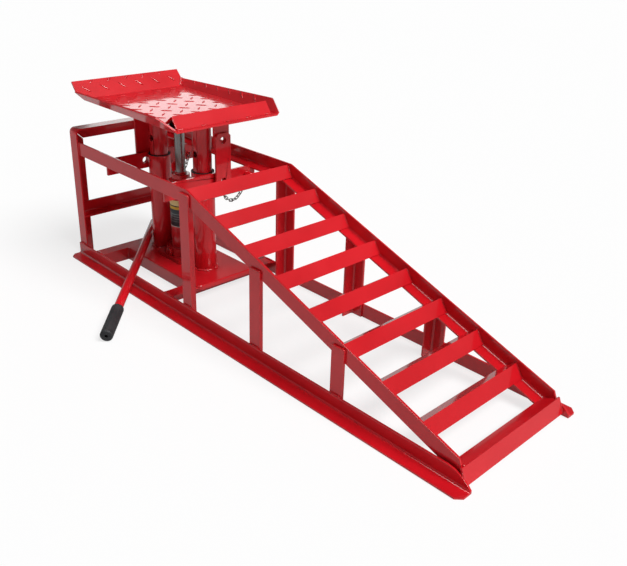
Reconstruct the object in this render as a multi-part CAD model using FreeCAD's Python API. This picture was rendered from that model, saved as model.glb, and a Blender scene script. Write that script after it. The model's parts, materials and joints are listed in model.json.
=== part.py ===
import FreeCAD, Part
import math
import os

# A hydraulic car ramp. Sizes are in millimetres and angles in degrees. X runs from the high
# rear end to the foot, Y across the ramp with the near side negative, and Z up from the floor.
# The origin lies on the floor, on the centre line, under the rear cross bar's front leg.

V = FreeCAD.Vector
AHEAD = V(1, 0, 0)
ACROSS = V(0, 1, 0)
UP = V(0, 0, 1)

# Angle iron, of which the whole frame is cut
angle_leg = 25.0
angle_wall = 3.0
angle_root = 3.5

# Frame
ramp_length = 972.6
rail_inside = 118.1
rail_corner_cut = 9.0
nose_length = 46.0
nose_height = 5.0
nose_bulge = 6.5
deck_height = 236.7
stop_corner_radius = 10.0
mitre_gap = 1.0
mid_bar_height = 110.0
box_post_back = 17.6
box_post_drop = 9.4
last_post_back = 234.2
ramp_post_drops = [14.0, 5.5]

# Slope and rungs
knee_x = 376.0
rung_count = 8
first_rung_back = 7.05
last_rung_back = 75.85
rung_drop = 5.67
rung_front_dip = 55.0
foot_apex_back = 18.4
foot_apex_drop = 6.0
foot_toe_height = 4.82
foot_front_dip = 68.0
foot_slot = 0.6

# Guide columns and the cross plates that stay them
jack_x = 192.8
column_offset = 70.0
column_rise = 6.3
outer_tube_radius = 21.0
outer_tube_wall = 2.5
tube_gap = 1.5
inner_tube_wall = 2.5
inner_tube_length = 210.0
lock_hole_radius = 6.3
lock_hole_rise = 33.4
cross_plate_wall = 5.0
cross_plate_height = 31.0
cross_plate_lap = 9.9
parking_rise = 16.0

# Base
rear_bar_back = 105.8
front_bar_ahead = 106.7
runner_outside = 62.0
plate_rear_step = 1.0
plate_front_lap = 28.5
plate_wall = 3.0
plate_skirt = 9.0
plate_corner_radius = 10.0
plate_edge_radius = 2.4

# Jack
tank_radius = 23.0
tank_wall = 2.0
tank_height = 156.0
shoulder_ledge = 8.0
shoulder_height = 24.0
foot_half_length = 45.0
foot_ledge = 5.0
foot_corner_cut = 12.0
foot_height = 8.0
bore_radius = 11.5
bore_floor = 8.0
cylinder_wall = 2.5
ram_step = 2.0
running_gap = 0.06
piston_length = 16.0
piston_depth = 60.0
seal_width = 3.0
seal_depth = 1.6
gland_plug_depth = 12.0
gland_flange_step = 1.0
gland_cone_height = 4.0
gland_middle_wall = 7.5
gland_middle_height = 8.0
gland_top_wall = 1.5
gland_top_height = 4.0
filler_radius = 5.0
filler_drop = 19.0
filler_head_lap = 1.5
filler_head = 2.5

# Release valve
valve_drop = 8.0
valve_stem_radius = 5.0
valve_stem_depth = 16.0
valve_stem_play = 5.0
valve_head_lap = 2.5
valve_head_length = 5.0
valve_head_gap = 0.4
valve_slot_width = 2.4
valve_slot_depth = 2.0

# Pump, turned towards the far rear corner of the ramp
pump_turn = 45.0
pump_offset = 27.0
pump_boss_radius = 13.0
pump_boss_height = 34.0
pump_barrel_radius = 11.0
pump_barrel_height = 20.0
pump_nut_height = 8.0
pump_nut_sides = 6
plunger_radius = 5.0
plunger_well_floor = 12.0
plunger_foot_gap = 5.0
plunger_eye_width = 10.0
plunger_eye_radius = 7.0
plunger_pin_radius = 3.0
plunger_pin_inset = 0.5
fulcrum_offset = 11.0
fulcrum_rise = 20.0
fulcrum_pin_radius = 4.0
lever_rest_angle = -22.0
lever_side_gap = 0.6
lever_plate_wall = 3.0
lever_slot_play = 0.5
link_side_gap = 0.4
link_plate_wall = 3.0
link_plate_width = 15.0
pin_head = 2.0
socket_tilt = 35.0
socket_start = 26.0
socket_side = 18.0
socket_length = 66.0
socket_wall = 3.1
socket_play = 0.4

# Pump handle, laid over the near rail with its grip on the floor
handle_length = 405.0
handle_radius = 8.0
handle_wall = 1.6
grip_wall = 2.8
grip_length = 82.0
grip_end_wall = 5.0
grip_hole_radius = 2.8
grip_round = 2.5
grip_end_ahead = 149.5
grip_end_out = 147.2
rail_crossing_ahead = 10.0
rest_gap = 0.4

# Tyre tray
tray_wall = 3.0
tray_rise = 86.3
tray_rear_reach = 143.9
tray_front_reach = 152.6
tray_half_width = 105.2
side_flange_out = 17.4
side_flange_rise = 20.8
side_flange_front_cut = 32.5
side_flange_toe = 4.0
side_flange_tail = 13.0
rear_flange_back = 25.8
rear_flange_rise = 28.3
rear_flange_flare = 10.2
lip_apex_back = 24.5
lip_inset = 5.5
lip_front_dip = 53.1

# Straps that hang from the tray past the cross plates
strap_wall = 4.5
strap_gap = 0.5
front_strap_y = 21.0
front_strap_width = 33.0
strap_top_margin = 13.0
strap_foot_drop = 13.0
strap_corner_cut = 6.0
strap_hole_drop = 41.5
tab_foot_margin = 14.0
rear_strap_y = -18.0
rear_strap_width = 30.0

# Lock pins and their chains
pin_radius = 6.0
pin_shank = 24.0
pin_nose = 3.0
pin_head_radius = 8.0
pin_head_length = 6.6
pin_park_gap = 0.4
front_pin_y = 80.0
rear_pin_y = 34.0
ring_radius = 6.5
ring_wire = 1.2
chain_wire = 0.8
chain_pitch = 7.4
link_half_width = 2.6
link_play = 0.5
link_lead = 2.3
link_hang_gap = 0.5
link_eye_gap = 0.2
chain_eye_radius = 4.0
front_eye_y = 20.0
front_eye_rise = 5.0
front_chain_sag = 32.0
rear_eye_inset = 19.5
rear_eye_rise = 12.0
rear_chain_sag = 33.0

# One margin for every cut that runs past what it cuts
overrun = 5.0

# Places that follow from the sizes above: frame and slope
post_inside = rail_inside - angle_wall
stringer_inside = post_inside - angle_wall
flange_inside = post_inside - angle_leg
stop_height = deck_height + angle_leg
flange_underside = deck_height - angle_leg
box_post_x = knee_x - box_post_back
foot_dip = math.radians(foot_front_dip)
foot_apex = V(ramp_length - foot_apex_back, 0, foot_toe_height + angle_leg * math.sin(foot_dip))
slope_run = foot_apex.x - knee_x
slope = math.atan2(deck_height - foot_apex_drop - foot_apex.z, slope_run)
slope_length = slope_run / math.cos(slope)
rung_pitch = (slope_length - last_rung_back + first_rung_back) / (rung_count - 1)
ramp_post_pitch = (slope_run + box_post_back - last_post_back) / len(ramp_post_drops)
downhill = V(math.cos(slope), 0, -math.sin(slope))
square_up = V(math.sin(slope), 0, math.cos(slope))
knee = V(knee_x, 0, deck_height)

# Base and columns
plate_top = angle_leg + plate_wall
rear_bar_front_x = jack_x - rear_bar_back
front_bar_x = jack_x + front_bar_ahead
plate_rear_x = rear_bar_front_x + plate_rear_step
plate_front_x = front_bar_x + plate_front_lap
origin_x = rear_bar_front_x - angle_wall / 2
rear_column_x = jack_x - column_offset
front_column_x = jack_x + column_offset
outer_tube_top = flange_underside + column_rise
inner_tube_radius = outer_tube_radius - outer_tube_wall - tube_gap
rear_plate_front_x = rear_column_x - outer_tube_radius
rear_plate_rear_x = rear_plate_front_x - cross_plate_wall
front_plate_rear_x = front_column_x + outer_tube_radius
front_plate_front_x = front_plate_rear_x + cross_plate_wall
cross_plate_half_width = flange_inside + cross_plate_lap
cross_plate_bottom = outer_tube_top - cross_plate_height
parking_height = cross_plate_bottom + parking_rise

# Jack, valve and pump
shoulder_half_width = tank_radius + shoulder_ledge
foot_half_width = shoulder_half_width + foot_ledge
shoulder_top = plate_top + shoulder_height
tank_top = plate_top + tank_height
cylinder_radius = bore_radius + cylinder_wall
ram_radius = bore_radius - ram_step
piston_foot = tank_top - piston_depth
valve_height = shoulder_top - valve_drop
valve_head_radius = valve_stem_radius + valve_head_lap
filler_height = tank_top - filler_drop
pump_y = tank_radius + pump_offset
plunger_well = plate_top + plunger_well_floor
fulcrum_y = tank_radius + fulcrum_offset
fulcrum_height = plate_top + pump_boss_height + pump_barrel_height + fulcrum_rise
lever_plate_gap = plunger_eye_width / 2 + lever_side_gap
link_plate_gap = lever_plate_gap + lever_plate_wall + link_side_gap
socket_bore_radius = handle_radius + socket_play
socket_radius = socket_bore_radius + socket_wall
grip_radius = handle_radius + grip_wall

# Tray, straps and chain eyes
tray_floor_height = deck_height + tray_rise
tray_underside = tray_floor_height - tray_wall
tray_rear_x = jack_x - tray_rear_reach
tray_front_x = jack_x + tray_front_reach
inner_tube_bottom = tray_underside - inner_tube_length
lock_hole_height = outer_tube_top + lock_hole_rise
strap_hole_height = tray_underside - strap_hole_drop
strap_foot_height = parking_height - strap_foot_drop
front_eye = V(front_plate_rear_x, front_eye_y, cross_plate_bottom + front_eye_rise)
rear_eye = V(rear_plate_front_x, cross_plate_half_width - rear_eye_inset,
             cross_plate_bottom + rear_eye_rise)


# Building blocks

def box(x0, x1, y0, y1, z0, z1):
    """A block between two corners."""
    return Part.makeBox(x1 - x0, y1 - y0, z1 - z0, V(x0, y0, z0))


def prism(points, run):
    """A flat outline through the points, pushed along run."""
    outline = Part.makePolygon(points + [points[0]])
    return Part.Face(outline).extrude(run)


def rod(start, end, radius):
    """A round bar from start to end."""
    line = end - start
    return Part.makeCylinder(radius, line.Length, start, line)


def tube(start, end, outer, inner):
    """A round tube from start to end."""
    line = end - start
    margin = V(line).normalize() * overrun
    return rod(start, end, outer).cut(rod(start - margin, end + margin, inner))


def mirrored(shape):
    """The same piece on the other side of the centre line."""
    return shape.mirror(V(0, 0, 0), ACROSS)


def fuse(shapes):
    """One solid from pieces that touch or overlap."""
    whole = shapes[0]
    for shape in shapes[1:]:
        whole = whole.fuse(shape)
    return whole.removeSplitter()


def angle_bar(corner, first, second, run):
    """Angle iron with its outer edge at corner and its legs along two unit directions."""
    def at(a, b):
        return corner + first * a + second * b
    root_end = angle_wall + angle_root
    root_middle = angle_wall + angle_root * (1 - math.sqrt(0.5))
    edges = [
        Part.LineSegment(at(0, 0), at(angle_leg, 0)),
        Part.LineSegment(at(angle_leg, 0), at(angle_leg, angle_wall)),
        Part.LineSegment(at(angle_leg, angle_wall), at(root_end, angle_wall)),
        Part.Arc(at(root_end, angle_wall), at(root_middle, root_middle), at(angle_wall, root_end)),
        Part.LineSegment(at(angle_wall, root_end), at(angle_wall, angle_leg)),
        Part.LineSegment(at(angle_wall, angle_leg), at(0, angle_leg)),
        Part.LineSegment(at(0, angle_leg), at(0, 0)),
    ]
    return Part.Face(Part.Wire([edge.toShape() for edge in edges])).extrude(run)


def octagon(half_length, half_width, corner_cut, low, high):
    """A block round the jack's axis with its four upright corners cut off."""
    points = [
        V(jack_x - half_length, -half_width + corner_cut, low),
        V(jack_x - half_length + corner_cut, -half_width, low),
        V(jack_x + half_length - corner_cut, -half_width, low),
        V(jack_x + half_length, -half_width + corner_cut, low),
        V(jack_x + half_length, half_width - corner_cut, low),
        V(jack_x + half_length - corner_cut, half_width, low),
        V(jack_x - half_length + corner_cut, half_width, low),
        V(jack_x - half_length, half_width - corner_cut, low),
    ]
    return prism(points, UP * (high - low))


def edge_height(x):
    """Height of the stringers' top edge at a place along the ramp."""
    return deck_height - max(0, x - knee_x) * math.tan(slope)


# Frame

def bottom_rail():
    """Near rail: one leg upright inside, the other flat on the floor outside."""
    outside = rail_inside + angle_leg
    rail = angle_bar(V(0, -rail_inside, 0), ACROSS * -1, UP, AHEAD * ramp_length)
    for end, inward in ((0, 1), (ramp_length, -1)):
        rail = rail.cut(prism([
            V(end + inward * rail_corner_cut, -outside, -overrun),
            V(end, -outside + rail_corner_cut, -overrun),
            V(end - inward * overrun, -outside + rail_corner_cut, -overrun),
            V(end - inward * overrun, -outside - overrun, -overrun),
            V(end + inward * rail_corner_cut, -outside - overrun, -overrun),
        ], UP * (angle_wall + 2 * overrun)))
    high = V(ramp_length - nose_length, -outside, angle_leg)
    low = V(ramp_length, -outside, nose_height)
    middle = (high + low) / 2 + UP * nose_bulge
    above = V(ramp_length + overrun, -outside, angle_leg + overrun)
    edges = [
        Part.Arc(high, middle, low),
        Part.LineSegment(low, V(above.x, -outside, nose_height)),
        Part.LineSegment(V(above.x, -outside, nose_height), above),
        Part.LineSegment(above, V(high.x, -outside, above.z)),
        Part.LineSegment(V(high.x, -outside, above.z), high),
    ]
    nose = Part.Face(Part.Wire([edge.toShape() for edge in edges]))
    return rail.cut(nose.extrude(ACROSS * (angle_leg + overrun)))


def rounded_frame_outline(half_width, height, radius, x0, x1):
    """The filled outline of the rear frame, with its two top corners rounded."""
    diagonal = radius * (1 - math.sqrt(0.5))
    side = height - radius
    top = half_width - radius
    edges = [
        Part.LineSegment(V(x0, -half_width, 0), V(x0, -half_width, side)),
        Part.Arc(V(x0, -half_width, side), V(x0, -half_width + diagonal, height - diagonal),
                 V(x0, -top, height)),
        Part.LineSegment(V(x0, -top, height), V(x0, top, height)),
        Part.Arc(V(x0, top, height), V(x0, half_width - diagonal, height - diagonal),
                 V(x0, half_width, side)),
        Part.LineSegment(V(x0, half_width, side), V(x0, half_width, 0)),
        Part.LineSegment(V(x0, half_width, 0), V(x0, -half_width, 0)),
    ]
    return Part.Face(Part.Wire([edge.toShape() for edge in edges])).extrude(AHEAD * (x1 - x0))


def rear_frame():
    """The rear arch: two posts and the stop bar, bent from one angle with mitred back legs."""
    outer = rounded_frame_outline(rail_inside, stop_height, stop_corner_radius, 0, angle_leg)
    inner = rounded_frame_outline(post_inside, stop_height - angle_wall,
                                  stop_corner_radius - angle_wall, -overrun,
                                  angle_leg + overrun)
    hoop = outer.cut(inner.cut(box(-overrun, angle_leg + overrun, -rail_inside, rail_inside,
                                   -overrun, 0)))
    back = rounded_frame_outline(rail_inside, stop_height, stop_corner_radius, 0, angle_wall)
    split = stop_height - stop_corner_radius
    corner_y = rail_inside - angle_leg
    cut_gap = mitre_gap * math.sqrt(0.5)
    thickness = AHEAD * (angle_wall + 2 * overrun)
    low_side = prism([
        V(-overrun, -corner_y, -overrun),
        V(-overrun, -corner_y, deck_height - cut_gap),
        V(-overrun, -rail_inside - overrun, stop_height + overrun - cut_gap),
        V(-overrun, -rail_inside - overrun, -overrun),
    ], thickness)
    high_side = prism([
        V(-overrun, -corner_y, deck_height + cut_gap),
        V(-overrun, -rail_inside - overrun, stop_height + overrun + cut_gap),
        V(-overrun, rail_inside + overrun, stop_height + overrun + cut_gap),
        V(-overrun, corner_y, deck_height + cut_gap),
    ], thickness)
    post_zone = box(-overrun, angle_leg + overrun, -rail_inside - overrun, 0, -overrun, split)
    near_post = fuse([hoop.common(post_zone), back.common(low_side).common(
        box(-overrun, angle_leg, -rail_inside - overrun, -corner_y, 0, split))])
    bar_zone = box(-overrun, angle_leg + overrun, -rail_inside - overrun,
                   rail_inside + overrun, split, stop_height + overrun)
    above_deck = box(-overrun, angle_leg, -rail_inside, rail_inside, deck_height, stop_height)
    corner_tips = back.common(low_side).common(bar_zone)
    bar = fuse([
        hoop.common(bar_zone),
        back.common(high_side).common(above_deck),
        corner_tips,
        mirrored(corner_tips),
    ])
    near_post = near_post.cut(bar)
    return near_post, bar


def top_rail():
    """Near deck rail, from the rear post to the knee."""
    rail = angle_bar(V(angle_wall, -post_inside, flange_underside), UP, ACROSS,
                     AHEAD * (knee_x + angle_leg))
    return rail.cut(knee_side(1))


def knee_side(sign):
    """All that lies past (1) or before (-1) the mitre at the knee."""
    half = slope / 2
    mitre_down = V(-math.sin(half), 0, -math.cos(half))
    high = knee - mitre_down * angle_leg
    low = knee + mitre_down * (2 * angle_leg)
    reach = AHEAD * (sign * ramp_length)
    start = ACROSS * -rail_inside
    points = [high + start, low + start, low + reach + start, high + reach + start]
    return prism(points, ACROSS * (2 * rail_inside))


def leg_directions(dip):
    """Unit directions down the front and rear legs of an angle bar with its edge up."""
    return V(math.cos(dip), 0, -math.sin(dip)), V(-math.sin(dip), 0, -math.cos(dip))


def foot_side(sign, y0, y1):
    """All that lies ahead (1) or behind (-1) of the back of the foot bar's front leg."""
    front, rear = leg_directions(foot_dip)
    gap = foot_slot if sign > 0 else 0
    line = foot_apex + rear * (angle_wall + gap) + ACROSS * y0
    high = line - front * (2 * angle_leg)
    low = line + front * (2 * angle_leg)
    reach = rear * (-sign * 4 * angle_leg)
    return prism([high, low, low + reach, high + reach], ACROSS * (y1 - y0))


def stringer():
    """Near stringer, from the knee down to the back of the foot bar."""
    corner = knee - square_up * angle_leg - downhill * angle_leg + ACROSS * -post_inside
    bar = angle_bar(corner, square_up, ACROSS, downhill * (slope_length + 2 * angle_leg))
    bar = bar.cut(knee_side(-1))
    return bar.cut(foot_side(1, -rail_inside, rail_inside))


def rung(index, stringers):
    """One rung: angle iron with its edge up, coped over the stringers' flanges."""
    front, rear = leg_directions(math.radians(rung_front_dip))
    along = index * rung_pitch - first_rung_back
    apex = knee + downhill * along - square_up * rung_drop + ACROSS * -stringer_inside
    bar = angle_bar(apex, front, rear, ACROSS * (2 * stringer_inside))
    for piece in stringers:
        bar = bar.cut(piece)
    return bar


def foot_bar(stringers):
    """The last rung, whose front leg runs out to the rails and makes the foot of the slope."""
    front, rear = leg_directions(foot_dip)
    start = foot_apex + ACROSS * -rail_inside
    bar = angle_bar(start, front, rear, ACROSS * (2 * rail_inside))
    bar = bar.cut(foot_side(-1, -rail_inside - overrun, -stringer_inside))
    bar = bar.cut(foot_side(-1, stringer_inside, rail_inside + overrun))
    for piece in stringers:
        bar = bar.cut(piece)
    return bar


def post(x, outer_top, inner_top):
    """Near post: a tall leg outside the stringer and a lower one under its flange."""
    bar = angle_bar(V(x, -rail_inside, 0), AHEAD, ACROSS, UP * outer_top)
    above = box(x - overrun, x + angle_leg + overrun, -post_inside, 0, inner_top, stop_height)
    return bar.cut(above)


def box_post():
    """Near post under the end of the deck."""
    return post(box_post_x, deck_height - box_post_drop, flange_underside)


def ramp_post(index):
    """Near post under the slope."""
    x = box_post_x + (index + 1) * ramp_post_pitch
    flange_below = angle_leg / math.cos(slope)
    outer_top = edge_height(x + angle_leg) - ramp_post_drops[index]
    inner_top = edge_height(x + angle_wall) - flange_below
    return post(x, outer_top, inner_top)


def rear_mid_bar():
    """The bar across the rear arch at half height, on the front of the posts' back legs."""
    corner = V(angle_wall, -post_inside, mid_bar_height - angle_leg)
    return angle_bar(corner, UP, AHEAD, ACROSS * (2 * post_inside))


# Base

def rear_cross_bar():
    """Cross bar between the rails, its upright leg at the front."""
    corner = V(rear_bar_front_x, -rail_inside, angle_leg)
    return angle_bar(corner, UP * -1, AHEAD * -1, ACROSS * (2 * rail_inside))


def front_cross_bar():
    """Cross bar between the rails, its upright leg at the rear."""
    corner = V(front_bar_x, -rail_inside, angle_leg)
    return angle_bar(corner, UP * -1, AHEAD, ACROSS * (2 * rail_inside))


def base_runner():
    """Near runner between the two cross bars."""
    corner = V(rear_bar_front_x, -runner_outside, angle_leg)
    return angle_bar(corner, UP * -1, ACROSS, AHEAD * (front_bar_x - rear_bar_front_x))


def base_plate(front_bar):
    """Pressed plate over the runners, its near, far and front edges folded down."""
    half = runner_outside + plate_wall
    length = plate_front_x - plate_rear_x
    bottom = plate_top - plate_skirt
    plate = Part.makeBox(length, 2 * half, plate_skirt, V(plate_rear_x, -half, bottom))
    uprights = [edge for edge in plate.Edges if edge.BoundBox.ZLength > plate_skirt / 2]
    plate = plate.makeFillet(plate_corner_radius, uprights)
    rim = [edge for edge in plate.Edges if edge.BoundBox.ZMin > plate_top - plate_wall / 2]
    plate = plate.makeFillet(plate_edge_radius, rim)
    hollow = box(plate_rear_x - overrun, plate_front_x - plate_wall, -runner_outside,
                 runner_outside, bottom - overrun, angle_leg)
    return plate.cut(hollow).cut(front_bar)


# Guide columns

def guide_tube(x):
    """Outer tube of a guide column, standing on the base plate."""
    inner = outer_tube_radius - outer_tube_wall
    return tube(V(x, 0, plate_top), V(x, 0, outer_tube_top), outer_tube_radius, inner)


def inner_tube(x):
    """Inner tube of a guide column, under the tray, with a cross hole for the lock pin."""
    inner = inner_tube_radius - inner_tube_wall
    column = tube(V(x, 0, inner_tube_bottom), V(x, 0, tray_underside), inner_tube_radius, inner)
    reach = inner_tube_radius + overrun
    hole = rod(V(x, -reach, lock_hole_height), V(x, reach, lock_hole_height), lock_hole_radius)
    return column.cut(hole)


def cross_plate(x, strap_y, pin_y, eye):
    """Plate across the deck rails, notched under their flanges, with its holes and chain eye."""
    plate = box(x, x + cross_plate_wall, -cross_plate_half_width, cross_plate_half_width,
                cross_plate_bottom, outer_tube_top)
    for side in (-1, 1):
        edge = side * flange_inside
        end = side * (cross_plate_half_width + overrun)
        plate = plate.cut(box(x - overrun, x + cross_plate_wall + overrun, min(edge, end),
                              max(edge, end), flange_underside, outer_tube_top + overrun))
    ring = Part.makeTorus(chain_eye_radius, ring_wire, eye, UP)
    plate = plate.fuse(ring).removeSplitter()
    beyond = 2 * (chain_eye_radius + ring_wire)
    past = x + cross_plate_wall if eye.x == x else x - beyond
    plate = plate.cut(box(past, past + beyond, eye.y - beyond, eye.y + beyond,
                          eye.z - ring_wire - overrun, eye.z + ring_wire + overrun))
    for y, radius in ((strap_y, lock_hole_radius), (pin_y, pin_radius + running_gap)):
        plate = plate.cut(rod(V(x - overrun, y, parking_height),
                              V(x + cross_plate_wall + overrun, y, parking_height), radius))
    return plate


# Jack

def turned(shape):
    """A piece of the pump, drawn across the ramp, turned about the jack's axis to its place."""
    shape.rotate(V(jack_x, 0, 0), UP, pump_turn)
    return shape


def jack_base():
    """Cast base: a foot, a shoulder, the pump's boss and the bores for ram, pump and valve."""
    low = plate_top
    shoulder_cut = shoulder_half_width * (2 - math.sqrt(2))
    boss = rod(V(jack_x, pump_y, low), V(jack_x, pump_y, low + pump_boss_height),
               pump_boss_radius)
    block = box(jack_x - link_plate_gap, jack_x + link_plate_gap, 0, pump_y, low,
                low + pump_boss_height)
    base = fuse([
        octagon(foot_half_length, foot_half_width, foot_corner_cut, low, low + foot_height),
        octagon(shoulder_half_width, shoulder_half_width, shoulder_cut, low, shoulder_top),
        turned(boss),
        turned(block),
    ])
    seat = low + bore_floor
    base = base.cut(rod(V(jack_x, 0, seat), V(jack_x, 0, shoulder_top + pump_boss_height),
                        tank_radius))
    floor = rod(V(jack_x, 0, seat), V(jack_x, 0, shoulder_top - tank_wall), tank_radius)
    floor = floor.cut(rod(V(jack_x, 0, seat), V(jack_x, 0, shoulder_top), cylinder_radius))
    base = base.fuse(floor).removeSplitter()
    well = rod(V(jack_x, pump_y, plunger_well), V(jack_x, pump_y, low + 2 * pump_boss_height),
               plunger_radius + running_gap)
    stem = rod(V(jack_x, -shoulder_half_width + valve_stem_depth, valve_height),
               V(jack_x, -shoulder_half_width - overrun, valve_height),
               valve_stem_radius + running_gap)
    return base.cut(turned(well)).cut(stem)


def jack_cylinder():
    """Pressure cylinder inside the tank."""
    low = plate_top + bore_floor
    top = tank_top - gland_plug_depth
    wall = rod(V(jack_x, 0, low), V(jack_x, 0, top), cylinder_radius)
    bore = rod(V(jack_x, 0, low + bore_floor), V(jack_x, 0, top + overrun), bore_radius)
    return wall.cut(bore)


def jack_tank():
    """Oil tank round the cylinder, with the filler hole high on the pump's side."""
    low = shoulder_top - tank_wall
    tank = tube(V(jack_x, 0, low), V(jack_x, 0, tank_top), tank_radius, tank_radius - tank_wall)
    hole = rod(V(jack_x, 0, filler_height), V(jack_x, tank_radius + overrun, filler_height),
               filler_radius)
    return tank.cut(turned(hole))


def filler_plug(tank):
    """Rubber plug in the filler hole."""
    inside = tank_radius - 2 * tank_wall
    stem = rod(V(jack_x, inside, filler_height), V(jack_x, tank_radius, filler_height),
               filler_radius)
    head = rod(V(jack_x, tank_radius, filler_height),
               V(jack_x, tank_radius + filler_head, filler_height),
               filler_radius + filler_head_lap)
    return turned(fuse([stem, head])).cut(tank)


def gland_heights():
    """Heights of the gland nut's tiers, from the tank's rim up."""
    cone_top = tank_top + gland_cone_height
    middle_top = cone_top + gland_middle_height
    return cone_top, middle_top, middle_top + gland_top_height


def gland_nut():
    """Nut that closes the tank and guides the ram, in three tiers, with a groove for its seal."""
    cone_top, middle_top, top = gland_heights()
    low = tank_top - gland_plug_depth
    nut = fuse([
        rod(V(jack_x, 0, low), V(jack_x, 0, tank_top), tank_radius - tank_wall),
        Part.makeCone(tank_radius - gland_flange_step, ram_radius + gland_middle_wall,
                      gland_cone_height, V(jack_x, 0, tank_top)),
        rod(V(jack_x, 0, cone_top), V(jack_x, 0, middle_top), ram_radius + gland_middle_wall),
        rod(V(jack_x, 0, middle_top), V(jack_x, 0, top), ram_radius + gland_top_wall),
    ])
    nut = nut.cut(rod(V(jack_x, 0, low - overrun), V(jack_x, 0, top + overrun),
                      ram_radius + running_gap))
    groove = rod(V(jack_x, 0, cone_top), V(jack_x, 0, cone_top + seal_width),
                 ram_radius + seal_depth)
    return nut.cut(groove)


def gland_seal():
    """Ring in the gland nut's groove, round the ram."""
    cone_top = gland_heights()[0]
    return tube(V(jack_x, 0, cone_top), V(jack_x, 0, cone_top + seal_width),
                ram_radius + seal_depth, ram_radius + running_gap)


def jack_ram():
    """Ram with its piston, from inside the cylinder up to the tray."""
    foot = V(jack_x, 0, piston_foot)
    neck = foot + UP * piston_length
    piston = rod(foot, neck, bore_radius - running_gap)
    groove_low = foot + UP * ((piston_length - seal_width) / 2)
    groove = tube(groove_low, groove_low + UP * seal_width, bore_radius, bore_radius - seal_depth)
    return fuse([piston.cut(groove), rod(neck, V(jack_x, 0, tray_underside), ram_radius)])


def piston_seal():
    """Cup ring in the piston's groove."""
    low = V(jack_x, 0, piston_foot + (piston_length - seal_width) / 2)
    return tube(low, low + UP * seal_width, bore_radius - running_gap, bore_radius - seal_depth)


def release_valve():
    """Screw on the near side of the base, with a slotted head."""
    face = -shoulder_half_width
    tip = V(jack_x, face + valve_stem_depth - valve_stem_play, valve_height)
    under_head = V(jack_x, face - valve_head_gap, valve_height)
    end = under_head - ACROSS * valve_head_length
    valve = fuse([rod(tip, under_head, valve_stem_radius),
                  rod(under_head, end, valve_head_radius)])
    half = valve_slot_width / 2
    slot = box(jack_x - half, jack_x + half, end.y - overrun, end.y + valve_slot_depth,
               valve_height - valve_head_radius - overrun,
               valve_height + valve_head_radius + overrun)
    return valve.cut(slot)


# Pump

def pump_barrel():
    """Barrel on the base's boss, with a hexagon at its top, bored for the plunger."""
    low = plate_top + pump_boss_height
    round_top = low + pump_barrel_height - pump_nut_height
    turn = 2 * math.pi / pump_nut_sides
    hexagon = [V(jack_x + pump_boss_radius * math.cos(turn * k),
                 pump_y + pump_boss_radius * math.sin(turn * k), round_top)
               for k in range(pump_nut_sides)]
    barrel = fuse([
        rod(V(jack_x, pump_y, low), V(jack_x, pump_y, round_top), pump_barrel_radius),
        prism(hexagon, UP * pump_nut_height),
    ])
    bore = rod(V(jack_x, pump_y, low - overrun),
               V(jack_x, pump_y, round_top + pump_nut_height + overrun),
               plunger_radius + running_gap)
    return turned(barrel.cut(bore))


def lever_arm():
    """Distance from the fulcrum to the plunger's axis."""
    return pump_y - fulcrum_y


def plunger_pin_height():
    """Height of the pin in the plunger's eye at rest."""
    return fulcrum_height + lever_arm() * math.tan(math.radians(lever_rest_angle))


def pump_plunger():
    """Plunger with its eye and the cross pin that the lever drives."""
    pin_z = plunger_pin_height()
    half = plunger_eye_width / 2
    low = plunger_well + plunger_foot_gap
    reach = lever_plate_gap + lever_plate_wall - plunger_pin_inset
    return turned(fuse([
        rod(V(jack_x, pump_y, low), V(jack_x, pump_y, pin_z), plunger_radius),
        rod(V(jack_x - half, pump_y, pin_z), V(jack_x + half, pump_y, pin_z),
            plunger_eye_radius),
        rod(V(jack_x - reach, pump_y, pin_z), V(jack_x + reach, pump_y, pin_z),
            plunger_pin_radius),
    ]))


def pump_link():
    """Two upright plates from the base to the fulcrum pin, which joins them."""
    half = link_plate_width / 2
    low = plate_top + foot_height
    pieces = []
    for side in (-1, 1):
        inner = jack_x + side * link_plate_gap
        outer = jack_x + side * (link_plate_gap + link_plate_wall)
        plate = fuse([
            box(min(inner, outer), max(inner, outer), fulcrum_y - half, fulcrum_y + half, low,
                fulcrum_height),
            rod(V(inner, fulcrum_y, fulcrum_height), V(outer, fulcrum_y, fulcrum_height), half),
        ])
        pieces.append(plate)
    reach = link_plate_gap + link_plate_wall + pin_head
    pieces.append(rod(V(jack_x - reach, fulcrum_y, fulcrum_height),
                      V(jack_x + reach, fulcrum_y, fulcrum_height), fulcrum_pin_radius))
    return turned(fuse(pieces))


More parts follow.
